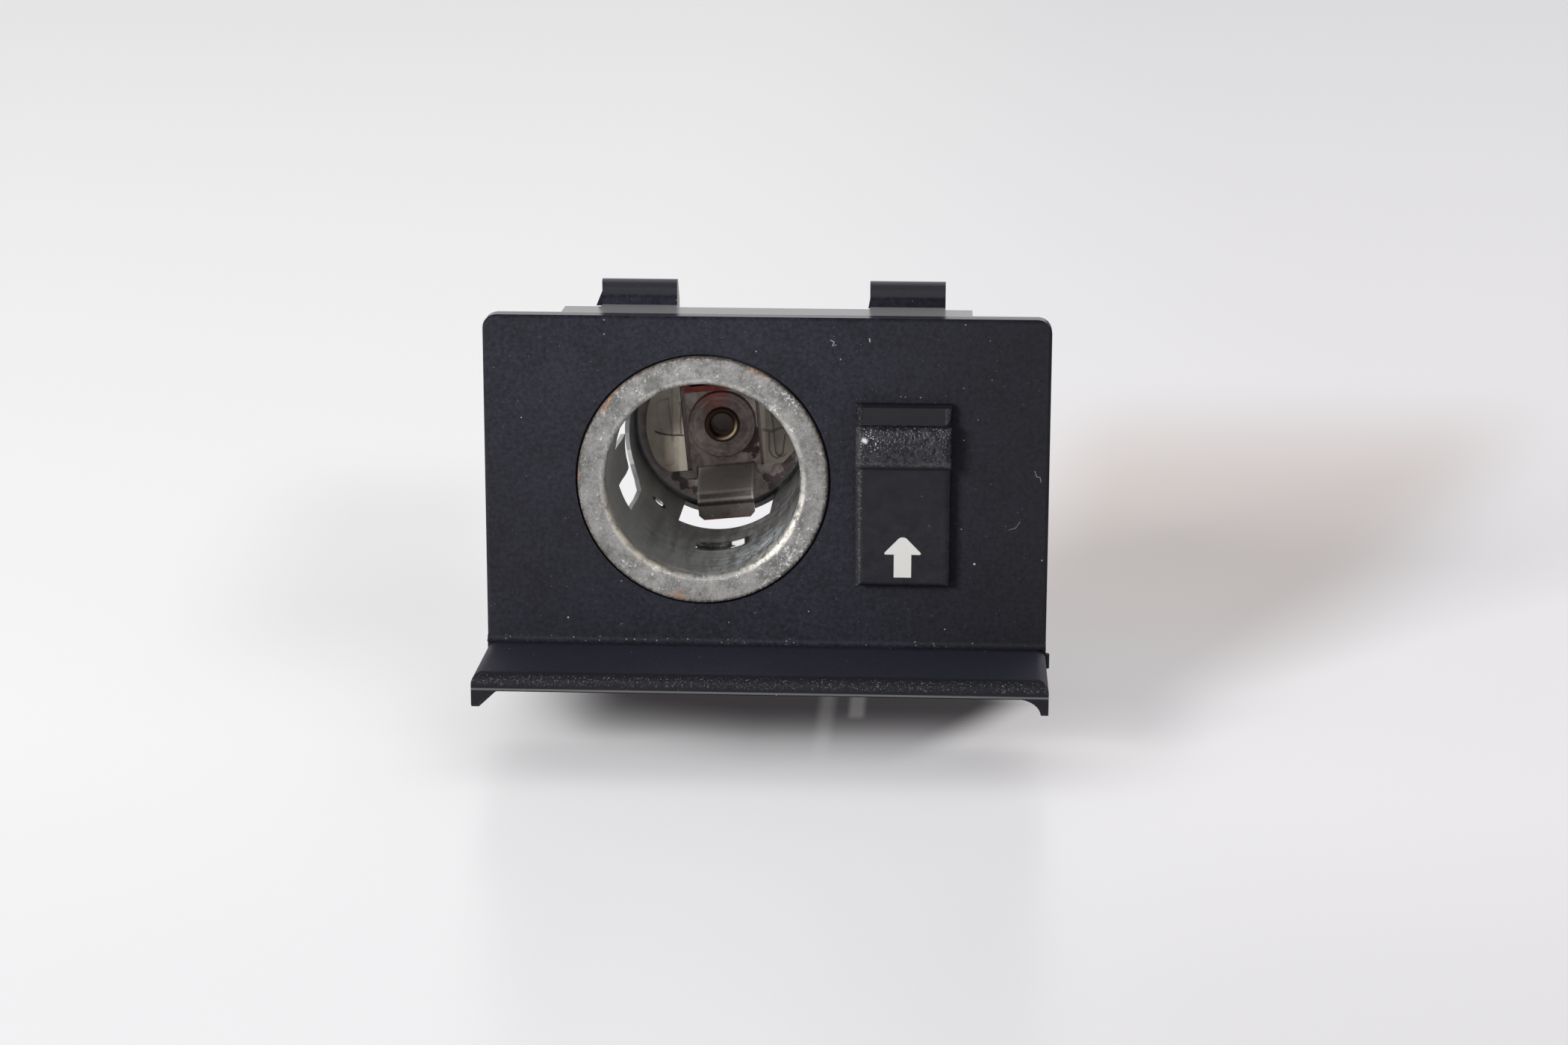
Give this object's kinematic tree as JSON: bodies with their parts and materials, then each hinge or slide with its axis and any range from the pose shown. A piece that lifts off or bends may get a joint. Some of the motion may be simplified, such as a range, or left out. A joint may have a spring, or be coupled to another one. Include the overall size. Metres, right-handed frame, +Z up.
{
  "type": "cigarette lighter socket panel",
  "caption": "Moulded dashboard panel with a shelf, a lighter socket in rolled sheet metal with its contact clip and terminals, and a sprung release button with an arrow.",
  "frame": {"origin": "on the socket's axis, in the plane of the panel's rear side", "axes": "+X to the right as seen by the user, +Y into the dashboard along the socket, +Z up; the socket opens towards -Y"},
  "size_m": [0.0622, 0.0576, 0.0453],
  "materials": {
    "black_plastic": "grained black moulding, dusty",
    "collar_plastic": "smooth black moulding",
    "zinc_plated_sheet": "dull mottled zinc with rust at the rim",
    "clip_steel": "heat-tinted spring steel with rusty edges",
    "bright_steel": "plain zinc-plated",
    "ceramic": "matt cream ceramic, soot-marked",
    "red_fibre": "matt vulcanised fibre",
    "brown_laminate": "matt laminate with burnt spots",
    "brass": "dull brass",
    "white_print": "matt white"
  },
  "bodies": {
    "panel": {"face_plate": "black_plastic", "socket_shell": "zinc_plated_sheet", "retaining_collar": "collar_plastic", "base_disc": "brown_laminate", "left_ceramic_block": "ceramic", "right_ceramic_block": "ceramic", "contact_clip": "clip_steel", "fibre_plate": "red_fibre", "dished_washer": "clip_steel", "centre_rivet": "brass", "earth_terminal": "bright_steel", "rear_insulator": "brown_laminate", "supply_terminal": "brass", "rear_washer": "bright_steel", "slide_cover": "black_plastic", "cover_screws": "bright_steel", "return_spring": "bright_steel"},
    "release": {"release_button": "black_plastic", "arrow_inlay": "white_print", "latch_slide": "black_plastic", "slide_screw": "bright_steel"}
  },
  "joints": [
    {"name": "release_slide", "type": "slide", "parent": "panel", "child": "release", "axis": [0, 0, 1], "range_m": [0, 0.0025], "stiffness_N_per_m": 300, "springref_m": -0.003, "deforming": ["return_spring"]}
  ]
}
